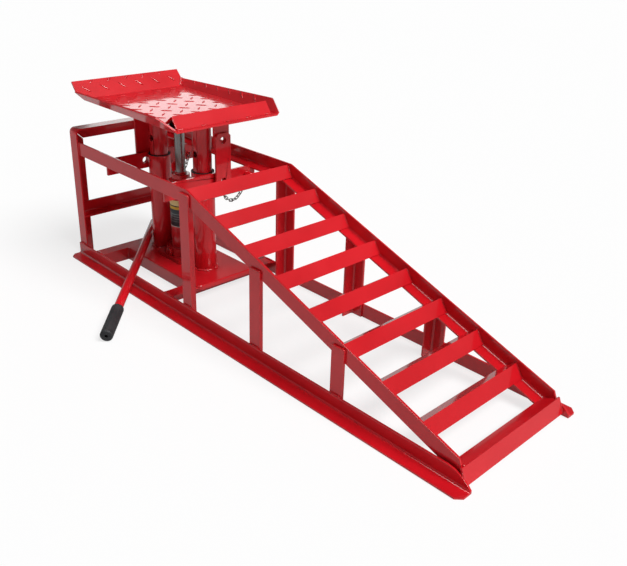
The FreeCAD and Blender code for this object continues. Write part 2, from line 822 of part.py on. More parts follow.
def handle_socket():
    """Lever: two side plates on the fulcrum pin and the tube that takes the handle."""
    def at(x, along, rise):
        return V(jack_x + x, fulcrum_y + along, fulcrum_height + rise)
    pin_reach = lever_arm()
    plate_edge = plunger_eye_radius
    outline = [(-plate_edge, -plate_edge), (pin_reach, -plate_edge - plunger_pin_radius),
               (pin_reach + 2 * plate_edge, 0), (socket_start + socket_radius, socket_side),
               (socket_start, socket_side + socket_radius), (0, plate_edge + plunger_pin_radius),
               (-plate_edge, plate_edge)]
    tilt = math.radians(socket_tilt)
    direction = V(0, math.cos(tilt), math.sin(tilt))
    mouth = at(0, socket_start, socket_side)
    pieces = [rod(mouth, mouth + direction * socket_length, socket_radius)]
    for side in (-1, 1):
        inner = side * lever_plate_gap
        points = [at(inner, along, rise) for along, rise in outline]
        pieces.append(prism(points, AHEAD * (side * lever_plate_wall)))
    lever = fuse(pieces)
    blind = mouth + direction * socket_radius
    lever = lever.cut(rod(blind, mouth + direction * (socket_length + overrun),
                          socket_bore_radius))
    reach = lever_plate_gap + lever_plate_wall + overrun
    lever = lever.cut(rod(at(-reach, 0, 0), at(reach, 0, 0), fulcrum_pin_radius + running_gap))
    slot_radius = plunger_pin_radius + lever_slot_play
    slot_reach = lever_arm() / math.cos(math.radians(lever_rest_angle))
    slot = fuse([
        rod(at(-reach, pin_reach, 0), at(reach, pin_reach, 0), slot_radius),
        rod(at(-reach, slot_reach, 0), at(reach, slot_reach, 0), slot_radius),
        box(jack_x - reach, jack_x + reach, fulcrum_y + pin_reach, fulcrum_y + slot_reach,
            fulcrum_height - slot_radius, fulcrum_height + slot_radius),
    ])
    lever = lever.cut(slot)
    inside = lever_plate_gap
    eye_room = box(jack_x - inside, jack_x + inside, fulcrum_y - 2 * plate_edge,
                   fulcrum_y + socket_start, fulcrum_height - 2 * plate_edge,
                   fulcrum_height + 4 * plate_edge)
    lever = lever.cut(eye_room)
    lever.rotate(V(jack_x, fulcrum_y, fulcrum_height), AHEAD, lever_rest_angle)
    return turned(lever)


# Pump handle

def handle_line():
    """Centre of the grip's end face, and the unit direction up the handle from it."""
    crossing = V(jack_x + rail_crossing_ahead, -rail_inside - angle_wall / 2,
                 angle_leg + handle_radius + rest_gap)
    start = V(crossing.x + grip_end_ahead, -rail_inside - grip_end_out,
              grip_radius + rest_gap)
    return start, (crossing - start).normalize()


def pump_handle():
    """Steel tube, from inside the grip to its open end behind the rear column."""
    start, direction = handle_line()
    return tube(start + direction * grip_end_wall, start + direction * handle_length,
                handle_radius, handle_radius - handle_wall)


def handle_grip():
    """Rubber sleeve with a rounded end and a small hole in it."""
    start, direction = handle_line()
    end = start + direction * grip_length
    sleeve = rod(start, end, grip_radius)
    sleeve = sleeve.makeFillet(grip_round, [edge for edge in sleeve.Edges
                                            if len(edge.Vertexes) < 2])
    sleeve = sleeve.cut(rod(start + direction * grip_end_wall, end + direction * overrun,
                            handle_radius))
    return sleeve.cut(rod(start - direction * overrun, end, grip_hole_radius))


# Tyre tray

def tray_flange(points, up_normal):
    """A flat flange through the points, thickened away from up_normal."""
    return prism(points, up_normal * -tray_wall)


def tray_inside():
    """The space in the tray, open upwards, that its flanges and its floor enclose."""
    top = tray_floor_height
    reach = 2 * rear_flange_rise
    back = reach * rear_flange_back / rear_flange_rise
    out = reach * side_flange_out / side_flange_rise
    half = tray_half_width
    between_sides = prism([
        V(tray_rear_x - back, -half, top), V(tray_rear_x - back, half, top),
        V(tray_rear_x - back, half + out, top + reach),
        V(tray_rear_x - back, -half - out, top + reach),
    ], AHEAD * (tray_front_x - tray_rear_x + back + overrun))
    ahead_of_rear = prism([
        V(tray_rear_x, -half - out, top), V(tray_rear_x - back, -half - out, top + reach),
        V(tray_front_x + overrun, -half - out, top + reach),
        V(tray_front_x + overrun, -half - out, top),
    ], ACROSS * (2 * half + 2 * out))
    return between_sides.common(ahead_of_rear)


def tray():
    """Pressed tray: a floor with two flared sides and a flared rear, mitred at the corners."""
    top = tray_floor_height
    half = tray_half_width
    toe_out = side_flange_out * side_flange_toe / side_flange_rise
    tail_out = side_flange_out * side_flange_tail / side_flange_rise
    tail_back = rear_flange_back * side_flange_tail / rear_flange_rise
    corner = V(tray_rear_x, -half, top)
    mitre_end = V(tray_rear_x - tail_back, -half - tail_out, top + side_flange_tail)
    front_corner = V(tray_front_x, -half, top)
    side = tray_flange([
        corner,
        front_corner,
        V(tray_front_x, -half - toe_out, top + side_flange_toe),
        V(tray_front_x - side_flange_front_cut, -half - side_flange_out,
          top + side_flange_rise),
        mitre_end,
    ], V(0, side_flange_rise, side_flange_out).normalize())
    rear_top = V(tray_rear_x - rear_flange_back, -half - rear_flange_flare,
                 top + rear_flange_rise)
    rear = tray_flange([
        corner,
        mitre_end,
        rear_top,
        V(rear_top.x, -rear_top.y, rear_top.z),
        V(mitre_end.x, -mitre_end.y, mitre_end.z),
        V(corner.x, -corner.y, corner.z),
    ], V(rear_flange_rise, 0, rear_flange_back).normalize())
    near_folds = fuse([
        rod(corner, front_corner, tray_wall),
        rod(corner, mitre_end, tray_wall),
        Part.makeSphere(tray_wall, corner),
    ])
    pieces = [
        box(tray_rear_x, tray_front_x, -half, half, tray_underside, top),
        side,
        mirrored(side),
        rear,
        near_folds,
        mirrored(near_folds),
        rod(corner, V(corner.x, -corner.y, corner.z), tray_wall),
    ]
    return fuse(pieces).cut(tray_inside())


def tray_lip(tray_shape):
    """Angle iron on the tray's floor, its edge up and its toe cut level, for the tyre."""
    dip = math.radians(lip_front_dip)
    front, rear = leg_directions(dip)
    half = tray_half_width - lip_inset
    apex = V(tray_front_x - lip_apex_back, -half,
             tray_floor_height + angle_leg * math.sin(dip))
    return angle_bar(apex, front, rear, ACROSS * (2 * half)).cut(tray_shape)


def strap(x, y, width, foot, top, hole_heights):
    """Flat strap with its top corners cut off and its holes."""
    half = width / 2
    points = [
        V(x, y - half, foot), V(x, y + half, foot),
        V(x, y + half, top - strap_corner_cut), V(x, y + half - strap_corner_cut, top),
        V(x, y - half + strap_corner_cut, top), V(x, y - half, top - strap_corner_cut),
    ]
    plate = prism(points, AHEAD * strap_wall)
    for height in hole_heights:
        plate = plate.cut(rod(V(x - overrun, y, height), V(x + strap_wall + overrun, y, height),
                              lock_hole_radius))
    return plate


def hanger_tab():
    """Tab under the tray, just ahead of the front cross plate."""
    x = front_plate_front_x + strap_gap
    half = front_strap_width / 2
    tab = box(x, x + strap_wall, front_strap_y - half, front_strap_y + half,
              strap_hole_height - tab_foot_margin, tray_underside)
    return tab.cut(rod(V(x - overrun, front_strap_y, strap_hole_height),
                       V(x + strap_wall + overrun, front_strap_y, strap_hole_height),
                       lock_hole_radius))


def front_strap():
    """Strap on the front of the tab, past the front cross plate."""
    x = front_plate_front_x + strap_gap + strap_wall
    return strap(x, front_strap_y, front_strap_width, strap_foot_height,
                 strap_hole_height + strap_top_margin, (strap_hole_height, parking_height))


def rear_strap():
    """Strap under the tray, just behind the rear cross plate."""
    x = rear_plate_rear_x - strap_gap - strap_wall
    half = rear_strap_width / 2
    plate = box(x, x + strap_wall, rear_strap_y - half, rear_strap_y + half, strap_foot_height,
                tray_underside)
    return plate.cut(rod(V(x - overrun, rear_strap_y, parking_height),
                         V(x + strap_wall + overrun, rear_strap_y, parking_height),
                         lock_hole_radius))


# Lock pins and chains

def ring_centre(face_x, y, sign):
    """Middle of the ring that hangs in a parked pin's head."""
    x = face_x - sign * (pin_park_gap + pin_head_length / 2)
    return V(x, y, parking_height - pin_head_radius / 2 - ring_radius)


def lock_pin(face_x, y, sign):
    """Pin parked in a cross plate: its shank runs along sign * X, its head and ring behind."""
    collar = V(face_x - sign * pin_park_gap, y, parking_height)
    head_end = collar - AHEAD * (sign * pin_head_length)
    tip = V(face_x + sign * (pin_shank - pin_nose), y, parking_height)
    nose = Part.makeCone(pin_radius, pin_radius - pin_nose, pin_nose, tip, AHEAD * sign)
    pin = fuse([rod(collar, tip, pin_radius), nose, rod(collar, head_end, pin_head_radius)])
    centre = ring_centre(face_x, y, sign)
    channel = Part.makeTorus(ring_radius, ring_wire + link_play, centre, AHEAD)
    return Part.makeCompound([pin.cut(channel),
                              Part.makeTorus(ring_radius, ring_wire, centre, AHEAD)])


def chain_link(centre, along, sideways):
    """One link: two straight runs and two half rings of wire."""
    straight = (chain_pitch + link_play) / 2 + chain_wire - link_half_width
    pieces = []
    for sign in (-1, 1):
        start = centre + sideways * (sign * link_half_width) - along * straight
        pieces.append(rod(start, start + along * (2 * straight), chain_wire))
        bend = centre + along * (sign * straight)
        room = 2 * (link_half_width + chain_wire)
        ring = Part.makeTorus(link_half_width, chain_wire, bend, along.cross(sideways))
        pieces.append(ring.common(rod(bend, bend + along * (sign * room), room)))
    return fuse(pieces)


def ring_hook(ring_middle, eye):
    """Middle of the ring's wire where the last link hangs, past its lowest point from the eye.

    As the pin draws, the chain swings about the eye and the link slides back along the ring."""
    away = ACROSS * math.copysign(link_lead, ring_middle.y - eye.y)
    return ring_middle + away - UP * math.sqrt(ring_radius ** 2 - link_lead ** 2)


def chain(eye_point, hook, sag):
    """A chain from a plate's eye to a pin's ring: a hanging curve of links and an upright one."""
    upright = hook + UP * (ring_wire + link_hang_gap - (chain_pitch + link_play) / 2)
    across = upright - UP * (chain_pitch / 2) - eye_point
    run = math.hypot(across.x, across.y)
    downward = V(across.x, across.y, across.z - 4 * sag).normalize()
    start = eye_point - downward * (ring_wire + link_eye_gap)
    span = eye_point + across - start
    steps = 40 * int(run)
    points = [start + span * (k / steps) - UP * (4 * sag * (k / steps) * (1 - k / steps))
              for k in range(steps + 1)]
    travelled = [0]
    for before, after in zip(points, points[1:]):
        travelled.append(travelled[-1] + (after - before).Length)
    count = 2 * math.ceil(travelled[-1] / (2 * chain_pitch + link_play))
    side = V(across.y, -across.x, 0).normalize()
    links = [chain_link(upright, UP, side)]
    for index in range(count):
        aim = (index + 1 / 2) * travelled[-1] / count
        step = next(k for k in range(steps) if travelled[k + 1] >= aim)
        along = (points[step + 1] - points[step]).normalize()
        links.append(chain_link(points[step], along, along.cross(side) if index % 2 else side))
    print(len(links), "links, most of them over", round(travelled[-1], 1), "mm")
    return Part.makeCompound(links)


# Assembly

def frame_pieces():
    """Every piece that stays still, by name."""
    stringers = [stringer(), mirrored(stringer())]
    near_post, stop_bar = rear_frame()
    pieces = {"rear_stop_bar": stop_bar}
    pairs = {
        "bottom_rail": bottom_rail(),
        "rear_post": near_post,
        "top_rail": top_rail(),
        "stringer": stringers[0],
        "box_post": box_post(),
        "base_runner": base_runner(),
    }
    for index in range(len(ramp_post_drops)):
        pairs["ramp_post_" + str(index + 1)] = ramp_post(index)
    for name, shape in pairs.items():
        pieces["near_" + name] = shape
        pieces["far_" + name] = mirrored(shape)
    for index in range(rung_count):
        supports = stringers + [pieces["near_top_rail"], pieces["far_top_rail"]]
        pieces["rung_" + str(index + 1)] = rung(index, supports)
    pieces["foot_bar"] = foot_bar(stringers)
    pieces["rear_mid_bar"] = rear_mid_bar()
    pieces["rear_cross_bar"] = rear_cross_bar()
    pieces["front_cross_bar"] = front_cross_bar()
    pieces["base_plate"] = base_plate(pieces["front_cross_bar"])
    pieces["rear_guide_tube"] = guide_tube(rear_column_x)
    pieces["front_guide_tube"] = guide_tube(front_column_x)
    pieces["rear_cross_plate"] = cross_plate(rear_plate_rear_x, rear_strap_y, rear_pin_y,
                                             rear_eye)
    pieces["front_cross_plate"] = cross_plate(front_plate_rear_x, front_strap_y, front_pin_y,
                                              front_eye)
    pieces["jack_base"] = jack_base()
    pieces["jack_cylinder"] = jack_cylinder()
    pieces["jack_tank"] = jack_tank()
    pieces["jack_gland_nut"] = gland_nut()
    pieces["gland_seal"] = gland_seal()
    pieces["filler_plug"] = filler_plug(pieces["jack_tank"])
    pieces["pump_barrel"] = pump_barrel()
    pieces["pump_link"] = pump_link().cut(pieces["jack_base"])
    return pieces


def moving_pieces():
    """Every piece that moves, by name."""
    tray_shape = tray()
    return {
        "tray": tray_shape,
        "tray_lip": tray_lip(tray_shape),
        "rear_inner_tube": inner_tube(rear_column_x),
        "front_inner_tube": inner_tube(front_column_x),
        "hanger_tab": hanger_tab(),
        "front_strap": front_strap(),
        "rear_strap": rear_strap(),
        "jack_ram": jack_ram(),
        "piston_seal": piston_seal(),
        "release_valve": release_valve(),
        "handle_socket": handle_socket(),
        "pump_plunger": pump_plunger(),
        "pump_handle": pump_handle(),
        "handle_grip": handle_grip(),
        "front_lock_pin": lock_pin(front_plate_rear_x, front_pin_y, 1),
        "rear_lock_pin": lock_pin(rear_plate_front_x, rear_pin_y, -1),
    }


def chains():
    """The two chains that keep the lock pins from being lost."""
    reach = AHEAD * chain_eye_radius
    front_ring = ring_centre(front_plate_rear_x, front_pin_y, 1)
    rear_ring = ring_centre(rear_plate_front_x, rear_pin_y, -1)
    return {
        "front_chain": chain(front_eye - reach, ring_hook(front_ring, front_eye),
                             front_chain_sag),
        "rear_chain": chain(rear_eye + reach, ring_hook(rear_ring, rear_eye), rear_chain_sag),
    }


def main():
    """Builds every piece and writes each to its own file."""
    os.makedirs("parts", exist_ok=True)
    pieces = frame_pieces()
    pieces.update(moving_pieces())
    pieces.update(chains())
    for name, shape in pieces.items():
        shape.translate(V(-origin_x, 0, 0))
        valid = "" if shape.isValid() else " NOT VALID"
        print(name, len(shape.Solids), round(shape.Volume), valid)
        shape.exportStep("parts/" + name + ".step")
    print(len(pieces), "files")


main()
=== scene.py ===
import json
import math
import random

import bmesh
import bpy
from mathutils import Matrix, Vector


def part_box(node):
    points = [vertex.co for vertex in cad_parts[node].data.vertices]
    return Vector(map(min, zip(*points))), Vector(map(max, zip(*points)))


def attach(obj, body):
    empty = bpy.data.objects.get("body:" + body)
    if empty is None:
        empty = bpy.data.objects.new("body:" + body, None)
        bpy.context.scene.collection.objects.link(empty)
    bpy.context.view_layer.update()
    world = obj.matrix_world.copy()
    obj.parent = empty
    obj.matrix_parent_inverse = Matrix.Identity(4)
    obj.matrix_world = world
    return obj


# The looks of a hydraulic car ramp: glossy red enamel, weld beads, a tread pattern in the tray,
# a bare ram, dark chain and a rubber grip. Lengths are in metres, in the frame's own axes.

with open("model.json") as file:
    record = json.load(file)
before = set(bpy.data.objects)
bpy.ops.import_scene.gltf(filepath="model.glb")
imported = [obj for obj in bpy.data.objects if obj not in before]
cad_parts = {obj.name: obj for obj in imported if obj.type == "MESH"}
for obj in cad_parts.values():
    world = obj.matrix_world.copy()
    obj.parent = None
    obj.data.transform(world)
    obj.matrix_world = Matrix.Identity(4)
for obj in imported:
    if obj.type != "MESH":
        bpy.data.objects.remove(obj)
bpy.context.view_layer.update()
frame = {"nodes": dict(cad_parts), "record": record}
nodes = frame["nodes"]

MM = 0.001
SIDES = (("near", -1), ("far", 1))
COLUMNS = ("rear", "front")
RUNGS = 8
ANGLE_WALL = 3.0 * MM

# Small rounded edges on the carried-over solids
WELD_REACH = 0.01 * MM
EDGE_ROUND = 0.45 * MM
EDGE_STEPS = 2
EDGE_ANGLE = 40
SMALLEST_ROUNDED = 12 * MM

# Weld beads: how thick, how lumpy, and how they end
BEAD_RADIUS = 2.2 * MM
BEAD_STEP = 1.3 * MM
BEAD_SIDES = 8
BEAD_FLAT = 0.75
BEAD_ASIDE = Vector((0.31, 0.27, 0.91))
RIPPLE, RIPPLE_TURN = 0.16, 2.1
UNEVEN, WANDER = 0.13, 0.12
END_SWELL = (0.45, 0.85)
FEWEST_LINE, FEWEST_ARC = 3, 6
FOOT_BEAD = 0.9 * BEAD_RADIUS
CORNER_BEAD = 0.8 * BEAD_RADIUS
COLUMN_BEAD = 1.4 * BEAD_RADIUS
RUNG_BEAD = 0.6 * BEAD_RADIUS
RUNG_BACK_BEAD = 0.5 * BEAD_RADIUS
SPOT_BEAD = 1.2 * BEAD_RADIUS

# Where beads lie, measured from the edge or face that they follow
LIFT = 0.4 * MM
PROUD = 0.6 * MM
SHORT_END = 1 * MM
LONG_END = 2 * MM
TOP_INSET = 1.2 * MM
DECK_RUN = 24 * MM
BOX_INSET, BOX_RUN = 1.5 * MM, 23 * MM
BAR_INSET, MID_BAR_END = 0.3 * MM, 4 * MM

# Feet of the guide tubes: four arcs round each, and a bead each side up the cross plate
FOOT_TURNS = (("rear", 20), ("front", -75))
FOOT_ARCS, FOOT_SWEEP = (0, 92, 184, 276), 78
FOOT_RISE, FOOT_OUT = 1.2 * MM, 1.0 * MM
PLATE_BEAD_Y = 9 * MM

# Beads on the two legs of a rung: where its ridge is, and the ends of each bead
RIDGE_SHARE = 0.59
RUNG_INSET = 0.5 * MM
FACE_START, FACE_END = (1.2 * MM, 2 * MM), (1.5 * MM, 2.5 * MM)
BACK_START, BACK_END = (2 * MM, 1.2 * MM), (5 * MM, 13 * MM)

# Beads at the foot bar: the seam at each end, and the spot on its top
FOOT_SEAM_Y, FOOT_SEAM = 0.995, ((8 * MM, 18 * MM), (1 * MM, 3 * MM))
FOOT_SPOT = ((11 * MM, 0.955, 1 * MM), (11.5 * MM, 0.93, 0.4 * MM))

# The tray's flanges: how far each leans out and rises, and where the rear mitre ends
SIDE_OUT = 17.4 * MM
SIDE_RISE = 20.8 * MM
REAR_BACK = 25.8 * MM
REAR_RISE = 28.3 * MM
SKIN_OUT = 2.3 * MM
SKIN_BACK = 2.2 * MM
MITRE_BACK = 11.9 * MM
MITRE_OUT = 10.9 * MM
MITRE_RISE = 13.0 * MM

# The lip's stitches along its toe and its ridge, and a dark sheet of painted shade inside it
STITCH_SHARES = (-0.93, -0.45, 0.06, 0.5, 0.93)
STITCH_LENGTH = 13 * MM
STITCH_OFF = 0.5 * MM
LIP_BACK = 8 * MM
LIP_RIDGE = 15 * MM
SHADE_SHEET_INSET, SHADE_SHEET_DROP = 4.5 * MM, 7.2 * MM
SHADE_SHEET_LIFT, SHADE_SHEET_END = 0.1 * MM, 1 * MM
SHADE_SHEET_SHARE = 0.92

# Tread marks: a square grid at 45 degrees to the edges
TREAD_PITCH = 26.5 * MM
TREAD_LENGTH = 22.5 * MM
TREAD_WIDTH = 4.6 * MM
TREAD_HEIGHT = 1.1 * MM
TREAD_SINK = 0.05 * MM
TREAD_STEPS = (8, 4)
TREAD_REACH = 9
TREAD_KEEP = 0.36
EDGE_GAP = 0.6 * MM

# The dark rings in the mouths of the guide tubes
RING_STEPS = 72
RING_GAP, RING_OUT = 0.25 * MM, 0.1 * MM
RING_IN_DROP, RING_OUT_DROP, RING_RISE, RING_SKIRT = 0.6 * MM, 0.7 * MM, 0.5 * MM, 1 * MM

# The film round the tank, its height measured from the tank's foot
FILM_STEPS = 64
FILM_BOTTOM, FILM_TOP = 44 * MM, 98 * MM
FILM_OUT, FILM_THICK = 0.12 * MM, 0.25 * MM


# Places that come from the frame

def low(node):
    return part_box(node)[0]


def high(node):
    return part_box(node)[1]


def middle(node):
    return (low(node) + high(node)) / 2


def outside(node, side):
    """The face of a node that looks away from the centre line."""
    return high(node).y if side > 0 else low(node).y


def tray_floor_top():
    return low("tray").z + ANGLE_WALL


def tray_half_floor():
    return high("tray").y - (SIDE_OUT + SKIN_OUT)


def tray_rear_fold():
    return low("tray").x + REAR_BACK + SKIN_BACK


# Materials

def linear(red, green, blue):
    """A colour written as it looks on a screen, in the values that a shader takes."""
    def channel(value):
        share = value / 255
        return share / 12.92 if share <= 0.04045 else ((share + 0.055) / 1.055) ** 2.4
    return (channel(red), channel(green), channel(blue), 1.0)


def grey(value):
    return (value, value, value, 1.0)


WHITE = grey(1.0)


def fill_ramp(node, stops):
    """Puts (place, colour) pairs on a colour ramp."""
    elements = node.color_ramp.elements
    while len(elements) < len(stops):
        elements.new(0.5)
    for element, (place, colour) in zip(elements, stops):
        element.position = place
        element.color = colour


class Surface:
    """A material with one main shader, and short ways to add nodes to it."""

    def __init__(self, name):
        self.material = bpy.data.materials.new(name)
        self.material.use_nodes = True
        self.tree = self.material.node_tree
        self.shader = self.tree.nodes["Principled BSDF"]
        self.place = self.add("ShaderNodeTexCoord").outputs["Object"]

    def add(self, kind, **settings):
        node = self.tree.nodes.new(kind)
        for key, value in settings.items():
            setattr(node, key, value)
        return node

    def link(self, source, target):
        self.tree.links.new(source, target)

    def set(self, **values):
        for name, value in values.items():
            self.shader.inputs[name.replace("_", " ")].default_value = value

    def noise(self, scale, detail=3.0, roughness=0.5, place=None):
        """Noise whose scale is in features per metre."""
        node = self.add("ShaderNodeTexNoise")
        node.inputs["Scale"].default_value = scale
        node.inputs["Detail"].default_value = detail
        node.inputs["Roughness"].default_value = roughness
        self.link(place or self.place, node.inputs["Vector"])
        return node.outputs["Fac"]

    def ramp(self, factor, stops, interpolation="LINEAR"):
        """Colours or greys along a factor: (place, colour) pairs."""
        node = self.add("ShaderNodeValToRGB")
        node.color_ramp.interpolation = interpolation
        fill_ramp(node, stops)
        self.link(factor, node.inputs["Fac"])
        return node.outputs["Color"]

    def cover(self, factor, under, over):
        """A plain colour laid over another by a factor."""
        node = self.add("ShaderNodeMix", data_type="RGBA")
        node.inputs["B"].default_value = over
        self.link(factor, node.inputs["Factor"])
        self.link(under, node.inputs["A"])
        return node.outputs["Result"]

    def colour(self, source):
        self.link(source, self.shader.inputs["Base Color"])

    def roughness(self, source):
        self.link(source, self.shader.inputs["Roughness"])

    def bump(self, heights):
        """Bumps stacked on each other: (height, strength, distance) for each."""
        normal = None
        for height, strength, distance in heights:
            node = self.add("ShaderNodeBump")
            node.inputs["Strength"].default_value = strength
            node.inputs["Distance"].default_value = distance
            self.link(height, node.inputs["Height"])
            if normal is not None:
                self.link(normal, node.inputs["Normal"])
            normal = node.outputs["Normal"]
        self.link(normal, self.shader.inputs["Normal"])
        self.link(normal, self.shader.inputs["Coat Normal"])


def enamel(name, light, dark, gloss, lumps):
    """Glossy red paint over steel: a slight drift of colour and a clear skin with orange peel."""
    surface = Surface(name)
    drift = surface.noise(scale=7.0, detail=4.0)
    surface.colour(surface.ramp(drift, [(0.35, dark), (0.65, light)]))
    smears = surface.noise(scale=22.0, detail=5.0, roughness=0.6)
    surface.roughness(surface.ramp(smears, [(0.3, grey(gloss)), (0.75, grey(gloss + 0.1))]))
    surface.set(Specular_IOR_Level=0.2, Coat_Weight=1.0, Coat_Roughness=0.05, Coat_IOR=1.5)
    surface.bump([(surface.noise(scale=190.0, detail=2.0), 0.05, 0.3 * MM),
                  (surface.noise(scale=lumps, detail=3.0), 0.12, 0.15 * MM)])
    return surface.material


def steel(name, light, dark, gloss, stretch):
    """Bare metal with fine marks that run round or along it."""
    surface = Surface(name)
    mapping = surface.add("ShaderNodeMapping")
    mapping.inputs["Scale"].default_value = stretch
    surface.link(surface.place, mapping.inputs["Vector"])
    marks = surface.noise(scale=240.0, detail=6.0, place=mapping.outputs["Vector"])
    surface.colour(surface.ramp(marks, [(0.35, dark), (0.65, light)]))
    surface.roughness(surface.ramp(marks, [(0.3, grey(gloss)), (0.7, grey(gloss + 0.16))]))
    surface.set(Metallic=1.0)
    surface.bump([(marks, 0.03, 0.05 * MM)])
    return surface.material


def rubber(name, shade, lift):
    """Moulded rubber: matt, finely pitted, a little dusty."""
    surface = Surface(name)
    dust = surface.noise(scale=45.0, detail=5.0, roughness=0.65)
    surface.colour(surface.ramp(dust, [(0.35, shade), (0.85, lift)]))
    surface.roughness(surface.ramp(dust, [(0.3, grey(0.52)), (0.7, grey(0.68))]))
    surface.bump([(surface.noise(scale=1400.0, detail=2.0), 0.25, 0.15 * MM),
                  (surface.noise(scale=120.0, detail=3.0), 0.08, 0.3 * MM)])
    return surface.material


def label_film(name, bottom, top):
    """A printed film round the tank: plain bands and a dark field with a few pale rules."""
    cream, gold = linear(240, 226, 160), linear(214, 176, 60)
    coal, rule = linear(46, 54, 58), linear(130, 140, 140)
    pale, rubbed = linear(190, 190, 186), linear(120, 110, 96)
    surface = Surface(name)
    split = surface.add("ShaderNodeSeparateXYZ")
    surface.link(surface.place, split.inputs["Vector"])
    share = surface.add("ShaderNodeMapRange")
    share.inputs["From Min"].default_value = bottom
    share.inputs["From Max"].default_value = top
    surface.link(split.outputs["Z"], share.inputs["Value"])
    bands = [(0.0, pale), (0.035, coal), (0.20, rule), (0.215, coal), (0.29, rule), (0.305, coal),
             (0.38, rule), (0.395, coal), (0.47, rule), (0.485, coal), (0.66, gold), (0.76, coal),
             (0.80, cream)]
    print_colour = surface.ramp(share.outputs["Result"], bands, interpolation="CONSTANT")
    worn = surface.ramp(surface.noise(scale=120.0, detail=4.0),
                        [(0.62, grey(0.0)), (0.74, grey(0.5))])
    surface.colour(surface.cover(worn, print_colour, rubbed))
    surface.roughness(surface.ramp(surface.noise(scale=60.0),
                                   [(0.3, grey(0.3)), (0.7, grey(0.42))]))
    surface.bump([(surface.noise(scale=300.0, detail=2.0), 0.06, 0.1 * MM)])
    return surface.material


red_paint = enamel("red_enamel", linear(212, 22, 34), linear(196, 14, 26), gloss=0.32, lumps=520.0)
jack_paint = enamel("jack_enamel", linear(196, 18, 28), linear(172, 12, 20), gloss=0.34,
                    lumps=420.0)
weld_paint = enamel("weld_enamel", linear(214, 34, 42), linear(176, 14, 22), gloss=0.3,
                    lumps=900.0)
cast_paint = enamel("cast_enamel", linear(178, 16, 24), linear(148, 10, 18), gloss=0.42,
                    lumps=330.0)
ram_steel = steel("ram_steel", linear(176, 176, 174), linear(150, 150, 148), gloss=0.2,
                  stretch=(1, 1, 0.12))
machined = steel("machined_steel", linear(190, 190, 190), linear(130, 130, 130), gloss=0.3,
                 stretch=(1, 1, 8))
chain_steel = steel("chain_steel", linear(150, 150, 146), linear(88, 88, 86), gloss=0.3,
                    stretch=(1, 1, 1))
grip_rubber = rubber("grip_rubber", linear(30, 31, 33), linear(52, 53, 55))
seal_rubber = rubber("seal_rubber", linear(24, 24, 25), linear(40, 40, 41))

SLOT_MATERIALS = {
    "red_enamel": red_paint,
    "jack_paint": jack_paint,
    "polished_steel": ram_steel,
    "machined_steel": machined,
    "zinc": chain_steel,
    "seal_rubber": seal_rubber,
    "black_rubber": grip_rubber,
}
CAST_NODES = ("jack_base", "release_valve")


def dress_nodes():
    """Each carried-over solid gets its paint or metal, and small rounded edges."""
    for part in frame["record"]["subparts"]:
        node = nodes[part["node"]]
        slot = part["material_slot"]
        node.data.materials.clear()
        node.data.materials.append(cast_paint if part["node"] in CAST_NODES
                                   else SLOT_MATERIALS[slot])
        if slot == "zinc" or max(node.dimensions) < SMALLEST_ROUNDED:
            continue
        weld = node.modifiers.new("join", "WELD")
        weld.merge_threshold = WELD_REACH
        bevel = node.modifiers.new("edges", "BEVEL")
        bevel.width = EDGE_ROUND
        bevel.segments = EDGE_STEPS
        bevel.limit_method = "ANGLE"
        bevel.angle_limit = math.radians(EDGE_ANGLE)
        bevel.harden_normals = False


# New pieces

def as_mesh(build, name):
    """The mesh of a finished build, its faces turned outwards."""
    bmesh.ops.recalc_face_normals(build, faces=build.faces)
    mesh = bpy.data.meshes.new(name)
    build.to_mesh(mesh)
    build.free()
    return mesh


def add_piece(name, mesh, material, body, smooth=True):
    """Puts a finished mesh in the scene, on its body."""
    mesh.materials.append(material)
    if smooth:
        for face in mesh.polygons:
            face.use_smooth = True
    piece = bpy.data.objects.new(name, mesh)
    bpy.context.scene.collection.objects.link(piece)
    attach(piece, body)


def skin(build, rings, closed):
    """Faces between rings that follow each other, and from the last to the first if closed."""
    later = rings[1:] + (rings[:1] if closed else [])
    for first, second in zip(rings, later):
        for k in range(len(first)):
            after = (k + 1) % len(first)
            build.faces.new((first[k], first[after], second[after], second[k]))


def turned(section, centre, around, name):
    """A ring of mesh: a closed section of (radius, height) turned about an upright axis."""
    build = bmesh.new()
    rings = [[build.verts.new((centre.x + r * math.cos(math.tau * k / around),
                               centre.y + r * math.sin(math.tau * k / around), z))
              for k in range(around)] for r, z in section]
    skin(build, rings, closed=True)
    return as_mesh(build, name)


def bead_rings(build, path, radius, draws):
    """A lumpy weld bead along a path: rings that swell and shrink like stacked drops."""
    rings = []
    last = len(path) - 1
    for index, point in enumerate(path):
        along = (path[min(index + 1, last)] - path[max(index - 1, 0)]).normalized()
        side = along.cross(BEAD_ASIDE).normalized()
        other = along.cross(side)
        ripple = 1 + RIPPLE * math.sin(index * RIPPLE_TURN) + draws.uniform(-UNEVEN, UNEVEN)
        end = min(index, last - index)
        swell = radius * ripple * (END_SWELL[end] if end < len(END_SWELL) else 1.0)
        wander = side * draws.uniform(-WANDER, WANDER) * radius
        ring = []
        for step in range(BEAD_SIDES):
            angle = math.tau * step / BEAD_SIDES
            offset = side * math.cos(angle) + other * math.sin(angle) * BEAD_FLAT
            ring.append(build.verts.new(point + wander + offset * swell))
        rings.append(ring)
    skin(build, rings, closed=False)
    build.faces.new(list(reversed(rings[0])))
    build.faces.new(rings[-1])


def line(start, end):
    """Points a bead's step apart on a straight run."""
    start, end = Vector(start), Vector(end)
    count = max(int((end - start).length / BEAD_STEP), FEWEST_LINE)
    return [start.lerp(end, index / count) for index in range(count + 1)]


def arc(centre, radius, start, sweep):
    """Points a bead's step apart round an upright axis, angles in degrees."""
    count = max(int(math.radians(sweep) * radius / BEAD_STEP), FEWEST_ARC)
    angles = [math.radians(start + sweep * index / count) for index in range(count + 1)]
    return [centre + Vector((math.cos(angle), math.sin(angle), 0)) * radius for angle in angles]


